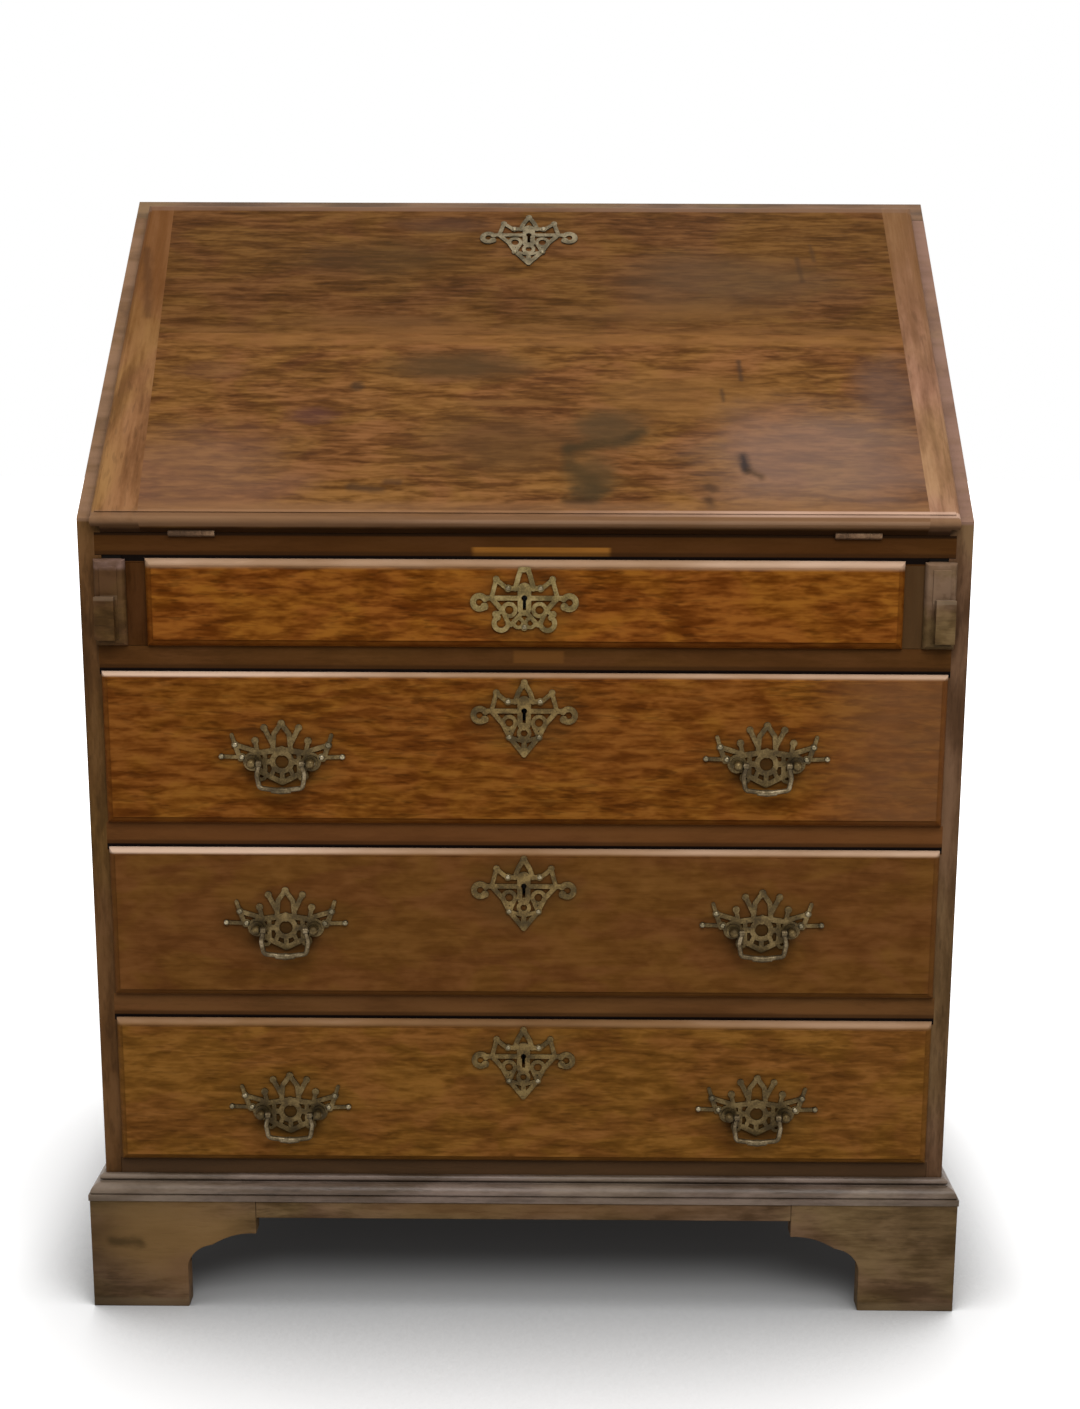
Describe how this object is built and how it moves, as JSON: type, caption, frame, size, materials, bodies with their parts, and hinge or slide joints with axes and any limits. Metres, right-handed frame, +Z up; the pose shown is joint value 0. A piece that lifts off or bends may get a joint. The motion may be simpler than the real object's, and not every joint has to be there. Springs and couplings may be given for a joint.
{
  "type": "slant-front desk",
  "caption": "Oak slant-front desk: hinged writing fall on pull-out lopers, lipped drawers with pierced brasses and bail handles, pigeonhole interior and bracket feet.",
  "frame": {"origin": "on the floor, under the middle of the desk's box", "axes": "+Z up, the drawers and the fall face -Y, +X to the right of someone facing the desk's front"},
  "size_m": [0.8392, 0.5136, 1.071],
  "materials": {
    "oak_case": "waxed dark oak, worn at the edges",
    "oak_fall": "waxed oak with stains and scratches",
    "oak_drawer": "waxed oak with mottled figure",
    "oak_nest": "waxed oak",
    "oak_secondary": "dry unpolished oak",
    "brass": "dull olive patina, rubbed bright on high points",
    "lock_iron": "dark iron"
  },
  "bodies": {
    "case": {"case_rails": "oak_case", "bottom_board": "oak_case", "writing_bed": "oak_case", "left_side": "oak_case", "right_side": "oak_case", "top_board": "oak_case", "back_boards": "oak_secondary", "loper_dividers": "oak_secondary", "drawer_runners": "oak_secondary", "base_moulding": "oak_case", "front_feet": "oak_case", "rear_feet": "oak_case", "foot_blocks": "oak_secondary", "front_apron": "oak_case", "hinge_bed_leaves": "brass", "hinge_pins": "brass", "pigeonhole_nest": "oak_nest"},
    "fall": {"fall_left_cleat": "oak_fall", "fall_right_cleat": "oak_fall", "fall_lower_board": "oak_fall", "fall_upper_board": "oak_fall", "fall_lock": "lock_iron", "fall_escutcheon": "brass", "hinge_fall_leaves": "brass"},
    "fall_bolt": {"fall_bolt": "lock_iron"},
    "left_loper": {"left_loper": "oak_case"},
    "right_loper": {"right_loper": "oak_case"},
    "drawer_1": {"drawer_1_front": "oak_drawer", "drawer_1_box": "oak_secondary", "drawer_1_escutcheon": "brass", "drawer_1_lock": "lock_iron"},
    "drawer_1_bolt": {"drawer_1_bolt": "lock_iron"},
    "drawer_2": {"drawer_2_front": "oak_drawer", "drawer_2_box": "oak_secondary", "drawer_2_escutcheon": "brass", "drawer_2_lock": "lock_iron", "drawer_2_handle_mounts": "brass"},
    "drawer_2_bolt": {"drawer_2_bolt": "lock_iron"},
    "drawer_2_bail_left": {"drawer_2_bail_left": "brass"},
    "drawer_2_bail_right": {"drawer_2_bail_right": "brass"},
    "drawer_3": {"drawer_3_front": "oak_drawer", "drawer_3_box": "oak_secondary", "drawer_3_escutcheon": "brass", "drawer_3_lock": "lock_iron", "drawer_3_handle_mounts": "brass"},
    "drawer_3_bolt": {"drawer_3_bolt": "lock_iron"},
    "drawer_3_bail_left": {"drawer_3_bail_left": "brass"},
    "drawer_3_bail_right": {"drawer_3_bail_right": "brass"},
    "drawer_4": {"drawer_4_front": "oak_drawer", "drawer_4_box": "oak_secondary", "drawer_4_escutcheon": "brass", "drawer_4_lock": "lock_iron", "drawer_4_handle_mounts": "brass"},
    "drawer_4_bolt": {"drawer_4_bolt": "lock_iron"},
    "drawer_4_bail_left": {"drawer_4_bail_left": "brass"},
    "drawer_4_bail_right": {"drawer_4_bail_right": "brass"},
    "nest_drawer_1": {"nest_drawer_1": "oak_nest"},
    "nest_drawer_2": {"nest_drawer_2": "oak_nest"},
    "nest_drawer_3": {"nest_drawer_3": "oak_nest"},
    "nest_drawer_4": {"nest_drawer_4": "oak_nest"}
  },
  "joints": [
    {"name": "fall_hinge", "type": "hinge", "parent": "case", "child": "fall", "pos_m": [0, -0.23425, 0.754], "axis": [1, 0, 0], "range_deg": [0, 134]},
    {"name": "fall_bolt_throw", "type": "slide", "parent": "fall", "child": "fall_bolt", "axis": [0, 0.6947, 0.7193], "range_m": [0, 0.012]},
    {"name": "left_loper_slide", "type": "slide", "parent": "case", "child": "left_loper", "axis": [0, -1, 0], "range_m": [0, 0.28]},
    {"name": "right_loper_slide", "type": "slide", "parent": "case", "child": "right_loper", "axis": [0, -1, 0], "range_m": [0, 0.28]},
    {"name": "drawer_1_slide", "type": "slide", "parent": "case", "child": "drawer_1", "axis": [0, -1, 0], "range_m": [0, 0.34]},
    {"name": "drawer_1_bolt_throw", "type": "slide", "parent": "drawer_1", "child": "drawer_1_bolt", "axis": [0, 0, 1], "range_m": [0, 0.006]},
    {"name": "drawer_2_slide", "type": "slide", "parent": "case", "child": "drawer_2", "axis": [0, -1, 0], "range_m": [0, 0.34]},
    {"name": "drawer_2_bolt_throw", "type": "slide", "parent": "drawer_2", "child": "drawer_2_bolt", "axis": [0, 0, 1], "range_m": [0, 0.006]},
    {"name": "drawer_2_left_bail_swing", "type": "hinge", "parent": "drawer_2", "child": "drawer_2_bail_left", "pos_m": [-0.223, -0.2522, 0.5445], "axis": [-1, 0, 0], "range_deg": [0, 95]},
    {"name": "drawer_2_right_bail_swing", "type": "hinge", "parent": "drawer_2", "child": "drawer_2_bail_right", "pos_m": [0.223, -0.2522, 0.5445], "axis": [-1, 0, 0], "range_deg": [0, 95]},
    {"name": "drawer_3_slide", "type": "slide", "parent": "case", "child": "drawer_3", "axis": [0, -1, 0], "range_m": [0, 0.34]},
    {"name": "drawer_3_bolt_throw", "type": "slide", "parent": "drawer_3", "child": "drawer_3_bolt", "axis": [0, 0, 1], "range_m": [0, 0.006]},
    {"name": "drawer_3_left_bail_swing", "type": "hinge", "parent": "drawer_3", "child": "drawer_3_bail_left", "pos_m": [-0.223, -0.2522, 0.38525], "axis": [-1, 0, 0], "range_deg": [0, 95]},
    {"name": "drawer_3_right_bail_swing", "type": "hinge", "parent": "drawer_3", "child": "drawer_3_bail_right", "pos_m": [0.223, -0.2522, 0.38525], "axis": [-1, 0, 0], "range_deg": [0, 95]},
    {"name": "drawer_4_slide", "type": "slide", "parent": "case", "child": "drawer_4", "axis": [0, -1, 0], "range_m": [0, 0.34]},
    {"name": "drawer_4_bolt_throw", "type": "slide", "parent": "drawer_4", "child": "drawer_4_bolt", "axis": [0, 0, 1], "range_m": [0, 0.006]},
    {"name": "drawer_4_left_bail_swing", "type": "hinge", "parent": "drawer_4", "child": "drawer_4_bail_left", "pos_m": [-0.223, -0.2522, 0.20175], "axis": [-1, 0, 0], "range_deg": [0, 95]},
    {"name": "drawer_4_right_bail_swing", "type": "hinge", "parent": "drawer_4", "child": "drawer_4_bail_right", "pos_m": [0.223, -0.2522, 0.20175], "axis": [-1, 0, 0], "range_deg": [0, 95]},
    {"name": "nest_drawer_1_slide", "type": "slide", "parent": "case", "child": "nest_drawer_1", "axis": [0, -1, 0], "range_m": [0, 0.13]},
    {"name": "nest_drawer_2_slide", "type": "slide", "parent": "case", "child": "nest_drawer_2", "axis": [0, -1, 0], "range_m": [0, 0.13]},
    {"name": "nest_drawer_3_slide", "type": "slide", "parent": "case", "child": "nest_drawer_3", "axis": [0, -1, 0], "range_m": [0, 0.13]},
    {"name": "nest_drawer_4_slide", "type": "slide", "parent": "case", "child": "nest_drawer_4", "axis": [0, -1, 0], "range_m": [0, 0.13]}
  ]
}
